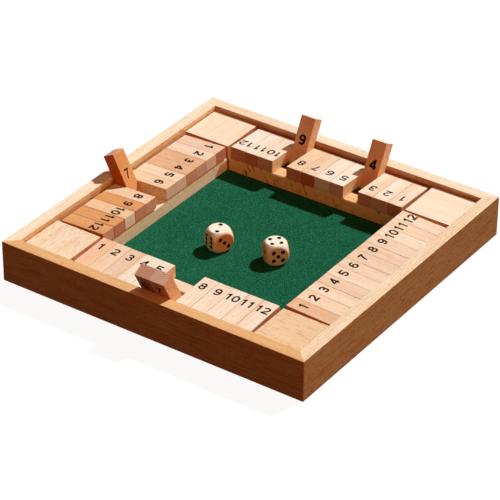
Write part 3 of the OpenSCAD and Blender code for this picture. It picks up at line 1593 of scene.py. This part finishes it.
@dataclass
class Numerals:
    """Plain digits of even strokes, made as thin raised ink.

    The strokes' centrelines are given in a digit one unit high.

    Attributes:
        stroke: Thickness of a stroke.
        wide: Width of a digit.
        advance: Distance from one digit to the next.
        height: Height of a digit, in millimetres.
        film: How far the ink stands above the wood, in millimetres.
        key: How far it reaches into the wood, in millimetres.
        made: The digits made so far.
    """

    stroke: float = 0.19
    wide: float = 0.72
    advance: float = 0.75
    height: float = 10.0
    film: float = 0.03
    key: float = 0.04
    made: dict[str, Shell] = field(default_factory=dict)

    def strokes(self, digit: str) -> list[Stroke]:
        """Lists a digit's strokes.

        Args:
            digit: One digit.

        Returns:
            The strokes, whose lines stay half a stroke inside the digit's edges.
        """
        half, wide = self.stroke / 2, self.wide
        middle, top, right = wide / 2, 1 - half, wide - half
        waist, belt = 0.53, 0.325
        reach = middle - half
        upper = ((middle, (top + waist) / 2), (reach * 0.9, (top - waist) / 2))
        lower = ((middle, (half + waist) / 2), (reach, (waist - half) / 2))
        bowl = ((middle, belt), (reach, belt - half))
        if digit == "0":
            angle = np.radians(np.arange(0, 360, 10))
            x, y = middle + reach * squared(np.cos(angle)), 0.5 + (0.5 - half) * squared(np.sin(angle))
            return [Stroke(np.column_stack([x, y]), closed=True)]
        if digit == "1":
            stem = middle + 0.02
            flag = curve((stem, top), (stem - 0.05, 0.86), (stem - 0.14, 0.78), (stem - 0.27, 0.745))
            return [straight((stem, 0), (stem, 1)), Stroke(flag)]
        if digit == "2":
            head = arc((middle, 0.70), (reach, top - 0.70), 170, -25)
            x, y = head[-1]
            foot = half + 0.01
            tail = curve((x, y), (x - 0.06, y - 0.16), (half + 0.08, 0.26), (foot, foot))
            return [Stroke(np.concatenate([head, tail[1:]])), straight((0.01, half), (wide, half))]
        if digit == "3":
            head, foot = Stroke(arc(*upper, 165, -90)), Stroke(arc(*lower, 90, -165))
            return [head, foot, straight((middle - 0.12, waist), (middle + 0.04, waist))]
        if digit == "4":
            post, bar = wide * 0.72, 0.27
            slope = straight((post - 0.02, top), (0.055, bar))
            return [straight((post, 0), (post, 1)), straight((0.02, bar), (wide + 0.01, bar)), slope]
        if digit == "5":
            belly = Stroke(arc((middle - 0.01, 0.33), (reach, 0.33 - half), 150, -165))
            return [belly, straight((0.13, top), (wide - 0.05, top)), straight((0.155, 1), (0.10, 0.46))]
        if digit in "69":
            ring = arc(*bowl, 0, 360)[:-1]
            neck = curve((half, belt), (half - 0.01, 0.78), (middle - 0.17, top), (middle + 0.01, top))
            hook = arc((middle + 0.01, 0.74), (reach - 0.03, top - 0.74), 90, 15)
            head = np.concatenate([neck, hook[1:]])
            if digit == "9":
                ring, head = (np.array([wide, 1.0]) - line for line in (ring, head))
            return [Stroke(ring, closed=True), Stroke(head)]
        if digit == "7":
            leg = curve((right - 0.01, top), (0.40, 0.70), (0.25, 0.38), (0.215, 0.0))
            return [straight((0.03, top), (wide - 0.02, top)), Stroke(leg)]
        return [Stroke(arc(*bowls, 0, 360)[:-1], closed=True) for bowls in (upper, lower)]

    def ribbon(self, stroke: Stroke) -> Shell:
        """Makes one stroke as a flat bar along its centreline.

        At each point the bar's section is a rectangle, half the stroke to each side along the
        line's normal, from the key below the wood to the film above it.

        Args:
            stroke: The stroke.

        Returns:
            The stroke's shell, in millimetres.
        """
        line = stroke.line
        if stroke.closed:
            tangent = np.roll(line, -1, axis=0) - np.roll(line, 1, axis=0)
        else:
            tangent = np.gradient(line, axis=0)
        tangent = tangent / np.linalg.norm(tangent, axis=1, keepdims=True)
        side = np.column_stack([-tangent[:, 1], tangent[:, 0]]) * self.stroke / 2
        left, right = (line + side) * self.height, (line - side) * self.height
        rises = [(left, self.film), (right, self.film), (right, -self.key), (left, -self.key)]
        rings = [np.column_stack([edge, np.full(len(edge), rise)]) for edge, rise in rises]
        return lattice(np.stack(rings, axis=1), loop=stroke.closed)

    def digit(self, digit: str) -> Shell:
        """Makes a digit, its strokes joined into one solid.

        Args:
            digit: One digit.

        Returns:
            The digit's shell, in millimetres, made only once.
        """
        if digit not in self.made:
            ribbons = [mesh_of(self.ribbon(stroke), "stroke") for stroke in self.strokes(digit)]
            self.made[digit] = shell_of(combined(ribbons[0], ribbons[1:], Cut.ADD))
        return self.made[digit]

    def number(self, number: int) -> Shell:
        """Sets a number's digits side by side, centred on the origin, facing up.

        Args:
            number: The number.

        Returns:
            The number's shell, in millimetres.
        """
        digits = str(number)
        width = self.advance * (len(digits) - 1) + self.wide
        starts = (self.advance * np.arange(len(digits)) - width / 2) * self.height
        places = [Place(offset=np.array([x, -self.height / 2, 0])) for x in starts]
        return joined([self.digit(d).moved(place) for d, place in zip(digits, places)])


# The finish of the raised front tiles 6 and 7, whose dark brown is painted shade on the faces that they turn
# to the front, and which tiles take it
SHADE_PAINTED_WOOD = replace(
    FINISHES["tile_amber"],
    name="lacquered_brown_beech",
    face=colour(206, 136, 84),
    second=colour(160, 90, 58),
)
SHADE_PAINTED_TILES = {(Row.FRONT, 6), (Row.FRONT, 7)}
# The rows' upper numbers: thickness of a stroke, as a share of a digit's height, and millimetres
# that they stand from the tile's middle line
PRINTS = {Row.FRONT: (0.185, -0.9), Row.RIGHT: (0.195, 0.6), Row.BACK: (0.175, 0.3), Row.LEFT: (0.21, -0.5)}
# Face tones of the tiles 1 to 12: shares of their finish's second colour. They are mostly the wood's own
# tone; the high tones of the raised back 4 and 9 and front 6 are painted shade on the faces that these turn
# to the front
SHADES = {
    Row.FRONT: [0.6, 0.6, 0.1, 0.1, 0.0, 1.0, 0.1, 0.0, 0.2, 0.0, 0.2, 0.2],
    Row.RIGHT: [0.45, 0.5, 0.5, 0.12, 0.35, 0.0, 0.0, 0.1, 0.08, 0.2, 0.55, 0.35],
    Row.BACK: [0.3, 0.0, 0.35, 1.0, 0.0, 0.0, 0.0, 0.8, 0.8, 0.3, 0.05, 0.05],
    Row.LEFT: [0.05, 0.45, 0.55, 0.6, 0.55, 0.8, 1.0, 0.7, 1.0, 0.95, 1.0, 0.9],
}
# Their end tones
END_SHADES = {
    Row.FRONT: [0.6, 0.5, 0.7, 0.4, 0.6, 0.6, 0.35, 0.7, 0.5, 0.6, 0.4, 0.7],
    Row.RIGHT: [0.7, 0.5, 0.6, 0.8, 0.4, 0.7, 0.6, 0.5, 0.8, 0.4, 0.6, 0.5],
    Row.BACK: [0.85, 0.65, 0.75, 0.0, 0.6, 0.35, 1.0, 0.85, 0.0, 0.7, 0.9, 0.8],
    Row.LEFT: [0.8, 0.2, 0.5, 0.65, 0.2, 0.25, 0.6, 0.6, 0.7, 0.0, 0.78, 0.6],
}
# Flank tones of the tiles whose sides show: towards the row's start, then towards its end. The second flank
# colour is painted shade on sides that stand in gaps beside tiles and blocks and on shaded sides, as on left
# 9 to 11, whose dark sides draw lines between the tiles' ends; the raised back 4 and 9 take only a little of
# it
FLANK_TONES_AND_PAINTED_SHADE = {
    (Row.FRONT, 7): (0.0, 0.4),
    (Row.FRONT, 12): (0.0, 0.55),
    (Row.RIGHT, 1): (0.85, 0.0),
    (Row.BACK, 1): (0.5, 0.0),
    (Row.BACK, 4): (0.25, 0.0),
    (Row.BACK, 9): (0.25, 0.0),
    (Row.LEFT, 6): (0.0, 0.25),
    (Row.LEFT, 7): (0.0, 1.0),
    (Row.LEFT, 9): (0.0, 0.8),
    (Row.LEFT, 10): (0.0, 0.8),
    (Row.LEFT, 11): (0.0, 0.8),
    (Row.LEFT, 12): (0.0, 0.75),
}
# Width taken off a tile's side towards the next one, at the wall end and at the free end
USUAL_GAP = (0.05, 0.05)
GAPS = {
    Row.FRONT: {1: (0.2, 0.2), 2: (0.3, 0.3), 8: (0.35, 0.2), 10: (0.3, 0.3), 11: (0.35, 0.35)},
    Row.RIGHT: {1: (0.2, 0), 2: (0.25, 0), 3: (0.45, 0.4), 6: (0.4, 0), 8: (0.5, 0), 11: (0.3, 0)},
    Row.BACK: {1: (0.1, 0.2), 2: (0.3, 0.3), 5: (0.2, 0.3), 6: (0.2, 0.2), 10: (0.2, 0.1), 11: (0.2, 0.2)},
    Row.LEFT: {2: (0.3, 0.2), 4: (0.45, 0.4), 8: (0.1, 0.3), 9: (0.1, 0.5), 10: (0.5, 0.6), 11: (0.1, 0.5)},
}
# A tile that lies flat, whose tilt the raised tiles share when they are shut
FLAT_TILE = "right_tile_01"
# Directions from a tile's hole at which its long edges get points, and the shares of its short
# edges at which these do
FAN = np.radians(np.arange(-48, 79, 14.0))
SHORT_MARKS = (0.25, 0.5, 0.75)


@dataclass
class Tiles:
    """The forty-eight tiles, each with its number on both faces.

    Attributes:
        width: Width of a tile along its row.
        length: Length of a tile.
        thickness: Thickness of a tile.
        rod_from_end: Distance of the rod from the wall end.
        bore: Radius of the rod's hole.
        mouth: Width of the chamfer at the hole's mouths.
        ease: Rounding of the edges.
        worn_foot: Rounding of the left row's edges that rest on the rail.
        trim: Most that saw and sander took off an end.
        print_from_end: Middle of the upper number, from the free end.
        near_shift: How much nearer to it that is in the front and right rows.
        pair_shift: How far the numbers of two digits stand towards the row's start.
        back_from_end: Middle of the lower number, from the free end.
        plain: The digits of each row's upper numbers.
        slim: The digits of the side rows' lower numbers.
        bold: The digits of the front and back rows' lower numbers.
    """

    width: float = 16.5
    length: float = 50.0
    thickness: float = 13.2
    rod_from_end: float = 10.5
    bore: float = 1.58
    mouth: float = 0.2
    ease: float = 0.2
    worn_foot: float = 1.2
    trim: float = 0.3
    print_from_end: float = 15.0
    near_shift: float = 1.8
    pair_shift: float = 0.6
    back_from_end: float = 23.8
    plain: dict[Row, Numerals] = field(
        default_factory=lambda: {row: Numerals(stroke=PRINTS[row][0]) for row in Row}
    )
    slim: Numerals = field(default_factory=lambda: Numerals(stroke=0.165, wide=0.66))
    bold: Numerals = field(default_factory=lambda: Numerals(stroke=0.22, wide=0.72, height=10.8))

    def slope(self, node: str) -> float:
        """Works out how far a tile tilts from the level at rest.

        The free end's top corner is at the distance R = hypot(reach, t / 2) from the rod, at the
        angle b = atan2(t / 2, reach) above the tile's axis, and a tile that lies flat tilts by
        asin(rise / R) - b. A raised tile tilts by its hinge's whole travel more.

        Args:
            node: The tile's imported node.

        Returns:
            The tilt in degrees.
        """
        hinge = HINGES[node]
        travel = -hinge["range_deg"][0]
        reach = self.length - self.rod_from_end
        flat = node if travel == 0 else FLAT_TILE
        rise = node_box(flat).high[2] - HINGES[flat]["pos_m"][2] / MM
        half = self.thickness / 2
        lean = math.asin(rise / math.hypot(reach, half)) - math.atan2(half, reach)
        return math.degrees(lean) + travel

    def place(self, row: Row, node: str) -> Place:
        """Returns where a tile's rod hole stands, and how the tile is turned there."""
        return Place(row.turn @ turned(x=self.slope(node)), np.array(HINGES[node]["pos_m"]) / MM)

    def tile(self, row: Row, number: int) -> Shell:
        """Makes a tile about its rod hole, which runs along X.

        Its section in Y and Z is carried along X between eased sides. Each side face runs from
        there to the hole's chamfered mouth, and the hole joins the two, so that the rings close
        like a torus. The section's marks lie at thickness / 2 tan f from the hole, with f in even
        steps, so that the hole's points are evenly spaced too. Last, the half beyond the middle is
        narrowed: a point at the share u of the half width moves back by u times the gap there,
        which runs evenly from the wall end to the free end. Saw and sander took a random part of the
        trim off each end, most often little, as its cube says.

        Args:
            row: The tile's row.
            number: Its number.

        Returns:
            The tile's shell.
        """
        wall, free = self.trim * chances(Draw.SAW, row.value, number).uniform(0, 1, 2) ** 3
        low = np.array([wall - self.rod_from_end, -self.thickness / 2])
        high = np.array([self.length - self.rod_from_end - free, self.thickness / 2])
        spread = self.thickness / 2 * np.tan(FAN)
        long = (spread - low[0]) / (high[0] - low[0])
        foot = self.worn_foot if row is Row.LEFT else self.ease
        marks = (long, SHORT_MARKS, 1 - long[::-1], SHORT_MARKS)
        section = Outline(corners_of(low, high), [self.ease, foot, self.ease, self.ease], marks)
        start, end = -self.width / 2, self.width / 2
        rings = eased(section, start, end, self.ease)[:, :, [2, 0, 1]]
        angle = np.arctan2(rings[0, :, 2], rings[0, :, 1])
        around = np.column_stack([np.cos(angle), np.sin(angle)])
        wide = self.bore + self.mouth
        hole = [(end, wide), (end - self.mouth, self.bore), (start + self.mouth, self.bore), (start, wide)]
        tube = [np.column_stack([np.full(len(angle), x), radius * around]) for x, radius in hole]
        points = np.concatenate([rings, np.stack(tube)])
        freed = (points[..., 1] - low[0]) / (high[0] - low[0])
        beyond = np.maximum(points[..., 0] / end, 0)
        at_wall, at_free = GAPS[row].get(number, USUAL_GAP)
        points[..., 0] -= beyond * (at_wall + (at_free - at_wall) * freed)
        return lattice(points, loop=True)

    def numbers(self, row: Row, number: int) -> Shell:
        """Sets a tile's number on its upper and its lower face.

        Args:
            row: The tile's row.
            number: The number.

        Returns:
            Both numbers' shell, in the tile's own axes.
        """
        free = self.length - self.rod_from_end
        near = self.near_shift if row in (Row.FRONT, Row.RIGHT) else 0.0
        lower = self.bold if row in (Row.FRONT, Row.BACK) else self.slim
        aside = PRINTS[row][1] - (self.pair_shift if number > 9 else 0.0)
        above = Place(np.eye(3), np.array([aside, free - self.print_from_end + near, self.thickness / 2]))
        below = Place(turned(y=180), np.array([0, free - self.back_from_end, -self.thickness / 2]))
        return joined([self.plain[row].number(number).moved(above), lower.number(number).moved(below)])

    def wood(self, row: Row, number: int) -> Grain:
        """Picks a tile's wood.

        Args:
            row: The tile's row.
            number: The number.

        Returns:
            The tile's grain.
        """
        return any_grain(
            [Draw.TILES, row.value, number],
            along=1,
            tone=SHADES[row][number - 1],
            end_tone=END_SHADES[row][number - 1],
            flank_tones=FLANK_TONES_AND_PAINTED_SHADE.get((row, number), (0.0, 0.0)),
        )

    def build(self) -> None:
        """Makes the four rows of tiles, and prints their numbers."""
        for row in Row:
            for number in range(1, TILES_PER_ROW + 1):
                tag = f"{row.label}_{number:02d}"
                node, name = f"{row.label}_tile_{number:02d}", "tile_" + tag
                place, grain = self.place(row, node), self.wood(row, number)
                # The raised front tiles 6 and 7 take the dark brown finish that is painted shade
                wood = SHADE_PAINTED_WOOD if (row, number) in SHADE_PAINTED_TILES else None
                mesh = mesh_of(self.tile(row, number), name)
                Piece(name, mesh, SLOTS[node], node, place, node, wood, grain).build()
                name, ink_grain = "number_" + tag, Grain(start=grain.start)
                mesh = mesh_of(self.numbers(row, number), name)
                Piece(name, mesh, "number_ink", None, place, node, grain=ink_grain).build()


@dataclass
class Die:
    """A die: a cube with flat round faces, cut from a ball, with hollow painted pips.

    Attributes:
        node: The die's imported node.
        turn: Its turn about Z, in degrees.
        top: Pips on its upper face.
        front: Pips on its front face, before the turn.
        right: Pips on its right face, before the turn.
        face: Diameter of a flat face.
        blend: Radius of the edge between a flat face and the ball.
        pitch: Distance of the outer pips from a face's middle lines.
        pip: Diameter of a pip.
        depth: Depth of a pip.
        facet: Angle between the points round a face, in degrees.
        flat_steps: Rings of faces on its flat part, and as many chords in the edge's rounding.
        ball_steps: Rings of faces on the ball.
        paint_reach: How far from their middles the pips' balls paint, in radii.
    """

    node: str
    turn: float
    top: int
    front: int
    right: int
    face: float = 18.9
    blend: float = 0.8
    pitch: float = 4.5
    pip: float = 3.9
    depth: float = 0.6
    facet: float = 5.0
    flat_steps: int = 4
    ball_steps: int = 3
    paint_reach: float = 1.001

    def faces(self) -> list[tuple[int, Array]]:
        """Lists the six faces, of which two that are opposite have seven pips together.

        Returns:
            Each face's pips, with the rotation that takes the upper face there.
        """
        return [
            (self.top, turned()),
            (7 - self.top, turned(x=180)),
            (self.front, turned(x=90)),
            (7 - self.front, turned(x=90, z=180)),
            (self.right, turned(x=90, z=90)),
            (7 - self.right, turned(x=90, z=-90)),
        ]

    def cap(self, half: float) -> Shell:
        """Makes the upper sixth of the die as a polar grid.

        With h half the size and B the ball's radius, a path goes out flat to the edge of the round
        face, round a small circle of the radius b, whose middle is at the height h - b and at B - b
        from the die's middle, and on down the ball. It ends on the plane that the face shares with
        its neighbour, at the polar angle atan(1 / max(|cos t|, |sin t|)), for the direction t.

        Args:
            half: Half of the die's size.

        Returns:
            The cap's shell, open where its neighbours join it.
        """
        ball_radius = math.hypot(half, self.face / 2)
        middle = math.sqrt((ball_radius - self.blend) ** 2 - (half - self.blend) ** 2)
        turn_end = math.atan2(middle, half - self.blend)
        around = np.radians(np.arange(0, 360, self.facet))
        flat = np.linspace(0, middle, self.flat_steps + 1)
        bend = np.linspace(0, turn_end, self.flat_steps + 1)[1:]
        radius = np.concatenate([flat, middle + self.blend * np.sin(bend)])
        height = np.concatenate([np.full(len(flat), half), half - self.blend * (1 - np.cos(bend))])
        radius = np.broadcast_to(radius[:, None], (len(radius), len(around)))
        height = np.broadcast_to(height[:, None], radius.shape)
        limit = np.arctan(1 / np.maximum(np.abs(np.cos(around)), np.abs(np.sin(around))))
        polar = turn_end + (limit - turn_end) * np.linspace(0, 1, self.ball_steps + 1)[1:, None]
        radius = np.concatenate([radius, ball_radius * np.sin(polar)])
        height = np.concatenate([height, ball_radius * np.cos(polar)])
        rings = np.stack([radius * np.cos(around), radius * np.sin(around), height], axis=-1)
        return lattice(rings, caps=False)

    def pips(self, count: int) -> Array:
        """Lists the places of a face's pips.

        Args:
            count: Number of pips.

        Returns:
            Their places from the face's middle, in units of the pitch.
        """
        places = []
        if count % 2:
            places += [(0, 0)]
        if count >= 2:
            places += [(-1, 1), (1, -1)]
        if count >= 4:
            places += [(-1, -1), (1, 1)]
        if count == 6:
            places += [(-1, 0), (1, 0)]
        return np.array(places, float)

    def pip_centres(self, half: float, ball_radius: float) -> Array:
        """Lists the middles of the balls that hollow the pips, on all six faces.

        Args:
            half: Half of the die's size.
            ball_radius: Radius of the balls, which stand out of the face but for a pip's depth.

        Returns:
            The middles, one row each.
        """
        centres = []
        for count, turn in self.faces():
            places = self.pips(count) * self.pitch
            height = np.full(len(places), half + ball_radius - self.depth)
            centres.append(np.column_stack([places, height]) @ turn.T)
        return np.concatenate(centres)

    def build(self) -> None:
        """Makes the die, and paints the faces that its pips' balls cut.

        A ball that sinks by the depth d and leaves a pip of the radius p has the radius
        (p p + d d) / 2 d, and the faces that it cut have their middles no further than that from it.
        """
        box, node = node_box(self.node), self.node
        half = box.size[2] / 2
        body = mesh_of(joined(self.cap(half).moved(Place(turn)) for _, turn in self.faces()), node)
        ball_radius = ((self.pip / 2) ** 2 + self.depth**2) / (2 * self.depth)
        centres = self.pip_centres(half, ball_radius)
        balls = mesh_of(joined(ball(centre, ball_radius) for centre in centres), "pips")
        mesh = combined(body, [balls], Cut.TAKE)
        middles = read(mesh.polygons, "center")[:, None]
        gaps = np.linalg.norm(middles - centres, axis=2).min(axis=1)
        painted = (gaps < ball_radius * self.paint_reach).astype(np.int32)
        place, grain = Place(turned(z=self.turn), box.centre), any_grain([Draw.DICE, self.top])
        thing = Piece("wooden_" + node, mesh, SLOTS[node], node, place, node, grain=grain).build()
        thing.data.polygons.foreach_set("material_index", painted)
        LOG.info("%s: %d faces painted", thing.name, painted.sum())


# The studio


@dataclass(frozen=True)
class Lamp:
    """A far lamp.

    With a the azimuth and e the elevation, its light comes from (sin a cos e, cos a cos e, sin e).

    Attributes:
        name: Name of the lamp.
        azimuth: Degrees from the back, clockwise from above.
        elevation: Degrees above the floor.
        power: Its strength.
        width: Its width in the sky, in degrees.
        tint: Its colour.
        distance: Where it hangs, in metres, which doesn't change its light.
    """

    name: str
    azimuth: float
    elevation: float
    power: float
    width: float
    tint: tuple[float, float, float]
    distance: float = 2.0

    def hang(self) -> None:
        """Puts the lamp into the scene."""
        lamp = bpy.data.lights.new(self.name, "SUN")
        lamp.energy, lamp.angle, lamp.color = self.power, math.radians(self.width), self.tint
        thing = bpy.data.objects.new(self.name, lamp)
        bpy.context.scene.collection.objects.link(thing)
        a, e = math.radians(self.azimuth), math.radians(self.elevation)
        towards = Vector((math.sin(a) * math.cos(e), math.cos(a) * math.cos(e), math.sin(e)))
        turn = towards.to_track_quat("Z", "Y").to_matrix().to_4x4()
        thing.matrix_world = Matrix.Translation(towards * self.distance) @ turn


@dataclass
class Studio:
    """Camera, lamps, world and floor.

    Attributes:
        azimuth: Degrees by which the camera stands to the right of the front.
        elevation: Degrees by which it looks down.
        roll: Degrees by which the picture is turned.
        distance: Distance of the camera from its target, in millimetres.
        target: The point in the middle of the picture, in millimetres.
        lens: Focal length, in millimetres.
        sensor: Width of the sensor, in millimetres.
        view_end: How far the camera sees, in metres.
        key: The lamp behind the game, to the right.
        fill: The wide warm lamp on the camera's side.
        sky: Colour of the light from all round.
        sky_power: Strength of that light.
        floor_tint: Colour of the light that the floor throws back.
        floor_size: Side of the floor, in metres.
        floor_glow: Brightness of its own light to the camera.
        floor_share: Share of that light in what the camera sees of it; the rest takes shadows.
    """

    azimuth: float = 34.484
    elevation: float = 32.564
    roll: float = 0.443
    distance: float = 2394.7
    target: tuple[float, float, float] = (7.73, -18.07, 20.0)
    lens: float = 181.843
    sensor: float = 36.0
    view_end: float = 60.0
    key: Lamp = field(default_factory=lambda: Lamp("key_lamp", 17.0, 49.5, 3.42, 2.6, (0.955, 1.0, 0.97)))
    fill: Lamp = field(default_factory=lambda: Lamp("fill_lamp", 112.0, 27.0, 1.12, 80.0, (1.0, 0.38, 0.14)))
    sky: Colour = (1.0, 0.47, 0.22, 1.0)
    sky_power: float = 0.085
    floor_tint: Colour = (0.11, 0.055, 0.03, 1.0)
    floor_size: float = 12.0
    floor_glow: float = 1.06
    floor_share: float = 0.88

    def camera(self) -> None:
        """Places the camera, whose own axes are right, up and back.

        With a the azimuth and e the elevation, back is (sin a cos e, -cos a cos e, sin e). The level
        axis and the one that rises from it are turned about back by the roll.
        """
        a, e, r = (math.radians(v) for v in (self.azimuth, self.elevation, self.roll))
        back = Vector((math.sin(a) * math.cos(e), -math.cos(a) * math.cos(e), math.sin(e)))
        level = Vector((math.cos(a), math.sin(a), 0.0))
        rise = back.cross(level)
        right = level * math.cos(r) + rise * math.sin(r)
        up = rise * math.cos(r) - level * math.sin(r)
        lens = bpy.data.cameras.new("photo_camera")
        lens.lens, lens.sensor_width, lens.clip_end = self.lens, self.sensor, self.view_end
        camera = bpy.data.objects.new("photo_camera", lens)
        bpy.context.scene.collection.objects.link(camera)
        turn = Matrix((right, up, back)).transposed().to_4x4()
        camera.matrix_world = Matrix.Translation((Vector(self.target) + back * self.distance) * MM) @ turn
        bpy.context.scene.camera = camera

    def world(self) -> None:
        """Makes a white world that lights the game only faintly."""
        world = bpy.data.worlds.new("studio")
        bpy.context.scene.world = world
        nodes = Nodes(world)
        sky = nodes.add("ShaderNodeBackground", {"Color": self.sky, "Strength": self.sky_power})
        white = nodes.add("ShaderNodeBackground", {"Color": WHITE})
        nodes.add("ShaderNodeOutputWorld", {"Surface": nodes.shown(sky, white)})

    def floor(self) -> None:
        """Lays a floor that looks white, keeps a pale shadow and throws little light back."""
        material = bpy.data.materials.new("studio_floor")
        nodes = Nodes(material)
        grey = nodes.add("ShaderNodeBsdfDiffuse", {"Color": self.floor_tint})
        paper = nodes.add("ShaderNodeBsdfDiffuse", {"Color": WHITE})
        glow = nodes.add("ShaderNodeEmission", {"Strength": self.floor_glow})
        feeds = {0: self.floor_share, 1: paper.outputs[0], 2: glow.outputs[0]}
        lit = nodes.add("ShaderNodeMixShader", feeds)
        nodes.add("ShaderNodeOutputMaterial", {"Surface": nodes.shown(grey, lit)})
        reach = self.floor_size / 2
        mesh = bpy.data.meshes.new("studio_floor")
        corners = [(x, y, 0) for x, y in corners_of((-reach, -reach), (reach, reach))]
        mesh.from_pydata(corners, [], [(0, 1, 2, 3)])
        mesh.materials.append(material)
        floor = bpy.data.objects.new("studio_floor", mesh)
        bpy.context.scene.collection.objects.link(floor)

    def build(self) -> None:
        """Sets up the studio."""
        bpy.context.scene.view_settings.view_transform = "Standard"
        self.camera()
        self.key.hang()
        self.fill.hang()
        self.world()
        self.floor()
        LOG.info("studio: camera, lamps, world and floor")


def main() -> None:
    """Builds the studio and every piece of the game."""
    logging.basicConfig(level=logging.INFO, format="%(name)s: %(message)s")
    Studio().build()
    for group in (FrameBoards(), Base(), CornerBlocks(), Rails(), Rods(), Tiles()):
        group.build()
    Die("die_left", turn=-25.0, top=2, front=6, right=3).build()
    Die("die_right", turn=48.5, top=4, front=5, right=6).build()


if __name__ == "__main__":
    main()
